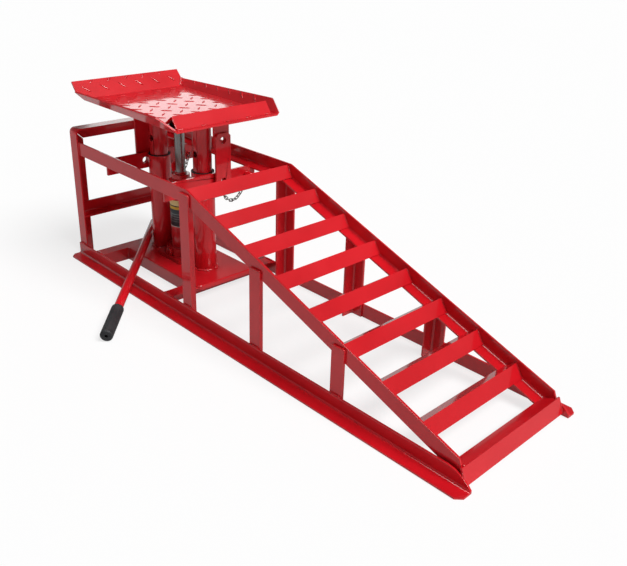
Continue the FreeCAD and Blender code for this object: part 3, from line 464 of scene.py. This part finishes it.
def add_beads(name, runs, body):
    """One piece from several weld runs: (path, radius) for each."""
    draws = random.Random(name)
    build = bmesh.new()
    for path, radius in runs:
        bead_rings(build, path, radius, draws)
    add_piece(name, as_mesh(build, name), weld_paint, body)


def foot_run(node, face, side, start_gap, end_gap, rail_top):
    """The bead along the foot of a post."""
    y, z = face + side * PROUD, rail_top + LIFT
    return line((low(node).x + start_gap, y, z), (high(node).x - end_gap, y, z)), FOOT_BEAD


def post_welds():
    """Beads over the tops of the posts, at their feet, and at the corners of the rear arch."""
    for side_name, side in SIDES:
        runs = []
        rail_top = high(side_name + "_bottom_rail").z
        for post in ("box_post", "ramp_post_1", "ramp_post_2"):
            node = side_name + "_" + post
            face = outside(node, side)
            y, z = face - side * TOP_INSET, high(node).z + PROUD
            runs.append((line((low(node).x, y, z), (high(node).x, y, z)), BEAD_RADIUS))
            runs.append(foot_run(node, face, side, LONG_END, LONG_END, rail_top))
        rear = side_name + "_rear_post"
        face = outside(rear, side)
        runs.append(foot_run(rear, face, side, LONG_END, SHORT_END, rail_top))
        x, y = high(rear).x + LIFT, face - side * ANGLE_WALL
        deck = high(side_name + "_top_rail").z
        runs.append((line((x, y, deck - DECK_RUN), (x, y, deck - SHORT_END)), CORNER_BEAD))
        box = side_name + "_box_post"
        x, y, z = high(box).x + LIFT, outside(box, side) - side * BOX_INSET, high(box).z
        runs.append((line((x, y, z - BOX_RUN), (x, y, z)), FOOT_BEAD))
        add_beads(side_name + "_post_welds", runs, "frame")


def column_welds():
    """Stitched fillets round the feet of the guide tubes and along the cross plates."""
    for column, turn in FOOT_TURNS:
        node = column + "_guide_tube"
        centre = middle(node)
        radius = (high(node).x - low(node).x) / 2
        foot = Vector((centre.x, centre.y, low(node).z + FOOT_RISE))
        runs = [(arc(foot, radius + FOOT_OUT, turn + start, FOOT_SWEEP), COLUMN_BEAD)
                for start in FOOT_ARCS]
        lo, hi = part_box(column + "_cross_plate")
        reach = math.sqrt(radius ** 2 - PLATE_BEAD_Y ** 2)
        x = centre.x + (reach if column == "front" else -reach)
        for side in (-1, 1):
            y = centre.y + side * PLATE_BEAD_Y
            runs.append((line((x, y, lo.z + SHORT_END), (x, y, hi.z - SHORT_END)), BEAD_RADIUS))
        add_beads(column + "_column_welds", runs, "frame")


def rung_welds():
    """A bead down each end of every rung's two legs, against the stringers."""
    runs = []
    for index in range(1, RUNGS + 1):
        lo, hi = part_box("rung_" + str(index))
        ridge = lo.x + (hi.x - lo.x) * RIDGE_SHARE
        for side in (-1, 1):
            y = side * (hi.y - RUNG_INSET)
            runs.append((line((ridge + FACE_START[0], y, hi.z - FACE_START[1]),
                              (hi.x - FACE_END[0], y, lo.z + FACE_END[1])), RUNG_BEAD))
            runs.append((line((ridge - BACK_START[0], y, hi.z - BACK_START[1]),
                              (lo.x + BACK_END[0], y, hi.z - BACK_END[1])), RUNG_BACK_BEAD))
    add_beads("rung_welds", runs, "frame")


def foot_welds():
    """Beads at the foot of the slope."""
    lo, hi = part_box("foot_bar")
    runs = []
    for side in (-1, 1):
        y = side * hi.y
        seam = [(hi.x - back, y * FOOT_SEAM_Y, lo.z + rise) for back, rise in FOOT_SEAM]
        spot = [(hi.x - back, y * share, hi.z - drop) for back, share, drop in FOOT_SPOT]
        runs.append((line(*seam), BEAD_RADIUS))
        runs.append((line(*spot), SPOT_BEAD))
    add_beads("foot_welds", runs, "frame")


def bar_welds():
    """Beads where the cross bars, runners and mid bar meet what carries them."""
    runs = []
    for node in ("rear_cross_bar", "front_cross_bar"):
        lo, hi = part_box(node)
        for side in (-1, 1):
            y, z = side * (hi.y - BAR_INSET), hi.z + LIFT
            runs.append((line((lo.x + SHORT_END, y, z), (hi.x - SHORT_END, y, z)), FOOT_BEAD))
    lo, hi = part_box("rear_mid_bar")
    x = lo.x + ANGLE_WALL + LIFT
    for side in (-1, 1):
        y = side * hi.y
        runs.append((line((x, y, lo.z + MID_BAR_END), (x, y, hi.z - SHORT_END)), CORNER_BEAD))
    for side_name, side in SIDES:
        lo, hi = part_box(side_name + "_base_runner")
        y = side * max(abs(lo.y), abs(hi.y))
        for x in (lo.x, hi.x):
            runs.append((line((x, y, lo.z + LONG_END), (x, y, hi.z - SHORT_END)), CORNER_BEAD))
    add_beads("bar_welds", runs, "frame")


def tray_welds():
    """Stitches along the lip's toe, and the seams at the tray's rear corners."""
    toe = high("tray_lip")
    x, z = toe.x + STITCH_OFF, tray_floor_top() + STITCH_OFF
    runs = []
    for share in STITCH_SHARES:
        y = share * toe.y
        runs.append((line((x, y - STITCH_LENGTH / 2, z), (x, y + STITCH_LENGTH / 2, z)),
                     BEAD_RADIUS))
    for side in (-1, 1):
        start = Vector((tray_rear_fold(), side * tray_half_floor(), tray_floor_top() + PROUD))
        end = start + Vector((-MITRE_BACK, side * MITRE_OUT, MITRE_RISE))
        runs.append((line(start, end), BEAD_RADIUS))
    add_beads("tray_welds", runs, "lift")


def lozenge(build, centre, along, up):
    """One raised mark of the tread: a pointed lens with a rounded back."""
    across = up.cross(along)
    length_steps, width_steps = TREAD_STEPS
    rows = []
    for i in range(length_steps + 1):
        t = -1 + 2 * i / length_steps
        half = TREAD_WIDTH / 2 * (1 - t * t)
        row = []
        for j in range(width_steps + 1):
            w = -1 + 2 * j / width_steps
            rise = TREAD_HEIGHT * (1 - w * w) * (1 - t ** 4) - TREAD_SINK
            point = centre + along * (t * TREAD_LENGTH / 2) + across * (w * half) + up * rise
            row.append(build.verts.new(point))
        rows.append(row)
    for first, second in zip(rows, rows[1:]):
        for j in range(width_steps):
            build.faces.new((first[j], first[j + 1], second[j + 1], second[j]))
    outline = [row[0] for row in rows] + [row[-1] for row in reversed(rows)]
    build.faces.new(list(reversed(outline)))


def tread_panel(origin, first, second, normal, inside, cuts):
    """Tread marks on a panel, on a grid at 45 degrees to its edges, cut where the panel ends."""
    build = bmesh.new()
    one, two = (first + second).normalized(), (second - first).normalized()
    for i in range(-TREAD_REACH, TREAD_REACH + 1):
        for j in range(-TREAD_REACH, TREAD_REACH + 1):
            offset = one * (i * TREAD_PITCH) + two * (j * TREAD_PITCH)
            if inside(offset.dot(first), offset.dot(second)):
                lozenge(build, origin + offset, one if (i + j) % 2 == 0 else two, normal)
    for place, outward in cuts:
        everything = build.verts[:] + build.edges[:] + build.faces[:]
        bmesh.ops.bisect_plane(build, geom=everything, plane_co=place, plane_no=outward,
                               clear_outer=True)
    return as_mesh(build, "tread_marks")


def add_tread():
    """The tread pattern on the tray's floor and on its three flanges."""
    half = tray_half_floor()
    top = tray_floor_top()
    rear = tray_rear_fold()
    front = low("tray_lip").x
    x_mid, x_half = (rear + front) / 2, (front - rear) / 2
    keep = TREAD_LENGTH * TREAD_KEEP + EDGE_GAP
    ahead, across, upward = Vector((1, 0, 0)), Vector((0, 1, 0)), Vector((0, 0, 1))

    def on_floor(a, b):
        return abs(a) < x_half - keep and abs(b) < half - keep

    def on_flange(a, b):
        return b > keep

    panels = [tread_panel(Vector((x_mid, 0, top)), ahead, across, upward, on_floor, [])]
    for side in (-1, 1):
        climb = Vector((0, side * SIDE_OUT, SIDE_RISE)).normalized()
        normal = Vector((0, -side * SIDE_RISE, SIDE_OUT)).normalized()
        rear_end = Vector((rear - MITRE_BACK, side * (half + MITRE_OUT), top + MITRE_RISE))
        front_end = Vector((front + LIP_BACK, side * (half + SIDE_OUT), top + SIDE_RISE))
        outward = (front_end - rear_end).normalized().cross(normal)
        if outward.dot(climb) < 0:
            outward.negate()
        cuts = [(rear_end - outward * EDGE_GAP, outward),
                (Vector((rear + EDGE_GAP, 0, top)), -ahead),
                (Vector((front - EDGE_GAP, 0, top)), ahead)]
        panels.append(tread_panel(Vector((x_mid, side * half, top)), ahead, climb, normal,
                                  on_flange, cuts))
    fold = Vector((rear, 0, top))
    climb = Vector((-REAR_BACK, 0, REAR_RISE)).normalized()
    normal = Vector((REAR_RISE, 0, REAR_BACK)).normalized()
    cuts = [(fold + climb * (math.hypot(REAR_BACK, REAR_RISE) - EDGE_GAP), climb),
            (fold + across * (half - EDGE_GAP), across),
            (fold - across * (half - EDGE_GAP), -across)]
    panels.append(tread_panel(fold, across, climb, normal, on_flange, cuts))
    build = bmesh.new()
    for panel in panels:
        build.from_mesh(panel)
    add_piece("tray_tread", as_mesh(build, "tray_tread"), red_paint, "lift")


def add_lip_lining():
    """A dark sheet inside the lip: painted shade, so the inside of the open lip looks black."""
    lo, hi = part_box("tray_lip")
    floor_top = tray_floor_top() + SHADE_SHEET_LIFT
    outer = [Vector((lo.x + SHADE_SHEET_INSET, 0, floor_top)),
             Vector((hi.x - SHADE_SHEET_INSET, 0, floor_top)),
             Vector((hi.x - LIP_RIDGE, 0, hi.z - SHADE_SHEET_DROP))]
    centre = (outer[0] + outer[1] + outer[2]) / 3
    inner = [centre + (corner - centre) * SHADE_SHEET_SHARE for corner in outer]
    build = bmesh.new()
    rings = []
    for section, side in ((outer, -1), (outer, 1), (inner, 1), (inner, -1)):
        end = Vector((0, side * (hi.y - SHADE_SHEET_END), 0))
        rings.append([build.verts.new(corner + end) for corner in section])
    skin(build, rings, closed=True)
    # The dark rubber on this sheet is painted shade for the inside of the lip, not a real part.
    add_piece("lip_shade_sheet", as_mesh(build, "lip_shade_sheet"), seal_rubber, "lift",
              smooth=False)


def add_mouth_rings():
    """A dark ring over the mouth of each guide tube."""
    for column in COLUMNS:
        tube_lo, tube_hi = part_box(column + "_guide_tube")
        slider_lo, slider_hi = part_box(column + "_inner_tube")
        inner = (slider_hi.x - slider_lo.x) / 2 + RING_GAP
        outer = (tube_hi.x - tube_lo.x) / 2 + RING_OUT
        top = tube_hi.z
        section = ((inner, top - RING_IN_DROP), (inner, top + RING_RISE), (outer, top + RING_RISE),
                   (outer, top - RING_OUT_DROP), (outer - RING_SKIRT, top - RING_OUT_DROP))
        name = column + "_mouth_ring"
        mesh = turned(section, (tube_lo + tube_hi) / 2, RING_STEPS, name)
        add_piece(name, mesh, seal_rubber, "frame", smooth=False)


def add_label():
    """The film round the jack's tank."""
    lo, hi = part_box("jack_tank")
    radius = (hi.x - lo.x) / 2 + FILM_OUT
    inner = radius - FILM_THICK
    bottom, top = lo.z + FILM_BOTTOM, lo.z + FILM_TOP
    section = ((inner, bottom), (radius, bottom), (radius, top), (inner, top))
    mesh = turned(section, (lo + hi) / 2, FILM_STEPS, "tank_label")
    film = label_film("label_film", bottom, top)
    add_piece("tank_label", mesh, film, "frame")


# Stage, light and camera

FLOOR_REACH = 40.0
FLOOR_DROP = 0.2 * MM
FLOOR_GREY = 0.93
FLOOR_ROUGHNESS = 0.9
FLOOR_GLOWS = (("Is Camera Ray", 1.0, 0.75), ("Is Glossy Ray", 0.42, 1.0))

HORIZON = [(0.02, grey(0.6)), (0.14, grey(0.3)), (0.4, grey(0.12))]
LOW_PANEL = ((-0.8008, 0.5325, 0.274), (0.9937, 0.9946), 1.45)
TOP_PANEL = ((0.1, -0.2, 0.975), (0.955, 0.975), 5.0)
WORLD_STRENGTH = 0.16

KEY_DIRECTION = (0.56, 0.12, 0.82)
KEY_STRENGTH = 3.3
KEY_ANGLE = 32.0

CAMERA_PLACE = (1.2804, -0.7899, 0.6475)
CAMERA_AZIMUTH = 44.427
CAMERA_ELEVATION = 24.488
CAMERA_ROLL = 2.338
CAMERA_LENS = 44.13
CAMERA_SENSOR = 36.0
CAMERA_SHIFT = (-0.02368, -0.02757)


def stage_material():
    """A pale floor that keeps a faint shadow, and that gloss sees as a softer white."""
    surface = Surface("pale_floor")
    surface.set(Base_Color=grey(FLOOR_GREY), Roughness=FLOOR_ROUGHNESS, Specular_IOR_Level=0.0)
    path = surface.add("ShaderNodeLightPath")
    previous = surface.shader.outputs["BSDF"]
    for ray, strength, share in FLOOR_GLOWS:
        glow = surface.add("ShaderNodeEmission")
        glow.inputs["Color"].default_value = WHITE
        glow.inputs["Strength"].default_value = strength
        amount = surface.add("ShaderNodeMath", operation="MULTIPLY")
        amount.inputs[1].default_value = share
        surface.link(path.outputs[ray], amount.inputs[0])
        blend = surface.add("ShaderNodeMixShader")
        surface.link(amount.outputs["Value"], blend.inputs["Fac"])
        surface.link(previous, blend.inputs[1])
        surface.link(glow.outputs["Emission"], blend.inputs[2])
        previous = blend.outputs["Shader"]
    surface.link(previous, surface.tree.nodes["Material Output"].inputs["Surface"])
    return surface.material


def add_stage():
    """A wide floor."""
    build = bmesh.new()
    corners = [(-1, -1), (1, -1), (1, 1), (-1, 1)]
    build.faces.new([build.verts.new((x * FLOOR_REACH, y * FLOOR_REACH, -FLOOR_DROP))
                     for x, y in corners])
    mesh = bpy.data.meshes.new("floor")
    build.to_mesh(mesh)
    build.free()
    mesh.materials.append(stage_material())
    floor = bpy.data.objects.new("floor", mesh)
    bpy.context.scene.collection.objects.link(floor)


class Sky:
    """The world's nodes, and short ways to add to them."""

    def __init__(self, name):
        world = bpy.data.worlds.new(name)
        bpy.context.scene.world = world
        world.use_nodes = True
        self.tree = world.node_tree
        self.tree.nodes.clear()
        self.output = self.add("ShaderNodeOutputWorld")
        self.path = self.add("ShaderNodeLightPath")
        self.place = self.add("ShaderNodeTexCoord").outputs["Generated"]

    def add(self, kind):
        return self.tree.nodes.new(kind)

    def link(self, source, target):
        self.tree.links.new(source, target)

    def light(self, strength=1.0, colour=None):
        """Light from all round, white or with a colour from other nodes."""
        node = self.add("ShaderNodeBackground")
        node.inputs["Color"].default_value = WHITE
        node.inputs["Strength"].default_value = strength
        if colour:
            self.link(colour, node.inputs["Color"])
        return node.outputs["Background"]

    def by_height(self, stops):
        """Light that changes with how high a ray points: (height, grey) pairs."""
        split = self.add("ShaderNodeSeparateXYZ")
        self.link(self.place, split.inputs["Vector"])
        ramp = self.add("ShaderNodeValToRGB")
        fill_ramp(ramp, stops)
        self.link(split.outputs["Z"], ramp.inputs["Fac"])
        return self.light(colour=ramp.outputs["Color"])

    def panel(self, direction, edges, strength):
        """A round bright panel in one direction, its edge between two cosines."""
        dot = self.add("ShaderNodeVectorMath")
        dot.operation = "DOT_PRODUCT"
        dot.inputs[1].default_value = direction
        self.link(self.place, dot.inputs[0])
        edge = self.add("ShaderNodeMapRange")
        edge.inputs["From Min"].default_value, edge.inputs["From Max"].default_value = edges
        self.link(dot.outputs["Value"], edge.inputs["Value"])
        return self.light(strength, edge.outputs["Result"])

    def both(self, first, second):
        node = self.add("ShaderNodeAddShader")
        self.link(first, node.inputs[0])
        self.link(second, node.inputs[1])
        return node.outputs["Shader"]

    def switch(self, ray, others, chosen):
        """One light for a kind of ray, and another for all other rays."""
        node = self.add("ShaderNodeMixShader")
        self.link(self.path.outputs[ray], node.inputs["Fac"])
        self.link(others, node.inputs[1])
        self.link(chosen, node.inputs[2])
        return node.outputs["Shader"]


def add_world():
    """White to the camera and dim to the object; gloss sees a pale horizon and two panels."""
    sky = Sky("studio")
    gloss = sky.by_height(HORIZON)
    for panel in (LOW_PANEL, TOP_PANEL):
        gloss = sky.both(gloss, sky.panel(*panel))
    lit = sky.switch("Is Glossy Ray", sky.light(WORLD_STRENGTH), gloss)
    seen = sky.switch("Is Camera Ray", lit, sky.light())
    sky.link(seen, sky.output.inputs["Surface"])


def add_key():
    """One broad, even light from above the foot of the ramp; the floor throws it back."""
    lamp = bpy.data.lights.new("key", "SUN")
    lamp.energy = KEY_STRENGTH
    lamp.angle = math.radians(KEY_ANGLE)
    holder = bpy.data.objects.new("key", lamp)
    holder.rotation_euler = Vector(KEY_DIRECTION).to_track_quat("Z", "Y").to_euler()
    bpy.context.scene.collection.objects.link(holder)


def add_camera():
    """The photograph's viewpoint."""
    turn, rise, roll = (math.radians(value) for value in
                        (CAMERA_AZIMUTH, CAMERA_ELEVATION, CAMERA_ROLL))
    back = Vector((math.sin(turn) * math.cos(rise), -math.cos(turn) * math.cos(rise),
                   math.sin(rise)))
    right = Vector((math.cos(turn), math.sin(turn), 0))
    up = back.cross(right)
    right_rolled = right * math.cos(roll) + up * math.sin(roll)
    up_rolled = up * math.cos(roll) - right * math.sin(roll)
    camera = bpy.data.cameras.new("camera")
    camera.sensor_fit = "HORIZONTAL"
    camera.sensor_width = CAMERA_SENSOR
    camera.lens = CAMERA_LENS
    camera.shift_x, camera.shift_y = CAMERA_SHIFT
    holder = bpy.data.objects.new("camera", camera)
    turned_axes = Matrix((right_rolled, up_rolled, back)).transposed().to_4x4()
    holder.matrix_world = Matrix.Translation(CAMERA_PLACE) @ turned_axes
    bpy.context.scene.collection.objects.link(holder)
    bpy.context.scene.camera = holder


dress_nodes()
post_welds()
column_welds()
rung_welds()
foot_welds()
bar_welds()
tray_welds()
add_tread()
add_lip_lining()
add_mouth_rings()
add_label()
add_stage()
add_world()
add_key()
add_camera()
bpy.context.scene.view_settings.view_transform = "Standard"
